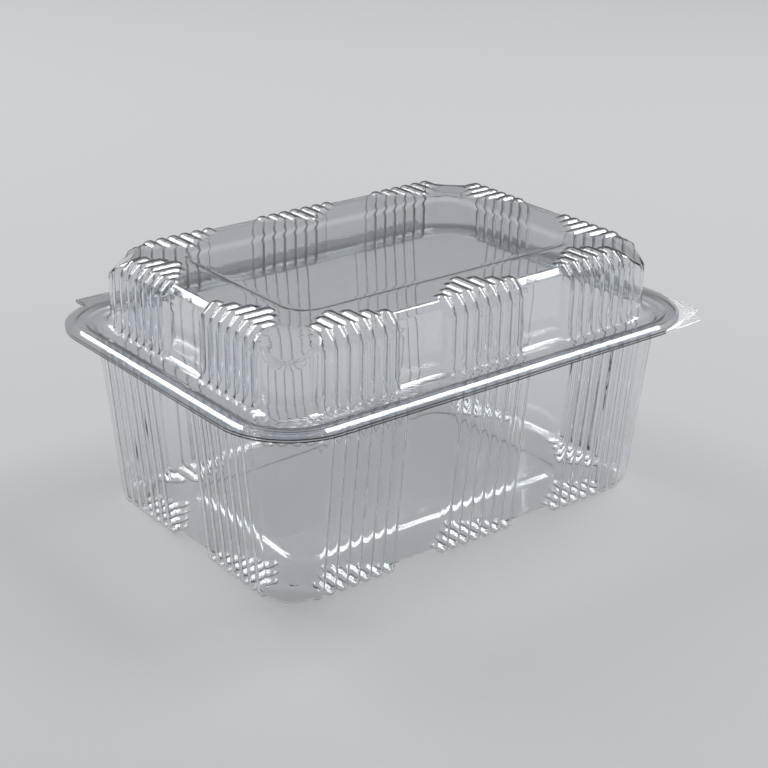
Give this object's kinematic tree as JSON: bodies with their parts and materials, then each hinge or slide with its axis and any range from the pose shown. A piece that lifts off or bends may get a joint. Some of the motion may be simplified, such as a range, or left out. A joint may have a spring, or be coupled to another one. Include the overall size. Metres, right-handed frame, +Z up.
{
  "type": "food container with lid",
  "caption": "Clear hinged food container of thin formed sheet: a ribbed tub with a flat rim, a ribbed lid that folds over it along one long side, and corner tabs to open it.",
  "frame": {"origin": "on the table, under the middle of the tub between its four corner feet", "axes": "+Z up, X along the long side, hinge on the +Y side, opening tabs at the +X -Y corner"},
  "size_m": [0.19, 0.1456, 0.0913],
  "materials": {
    "tub_sheet": "clear glossy formed plastic sheet, neutral",
    "lid_sheet": "clear glossy formed plastic sheet, neutral"
  },
  "bodies": {
    "base": {"base": "tub_sheet"},
    "lid": {"lid": "lid_sheet"}
  },
  "joints": [
    {"name": "lid_hinge", "type": "hinge", "parent": "base", "child": "lid", "pos_m": [0, 0.075, 0.06523], "axis": [-1, 0, 0], "range_deg": [0, 180]}
  ]
}
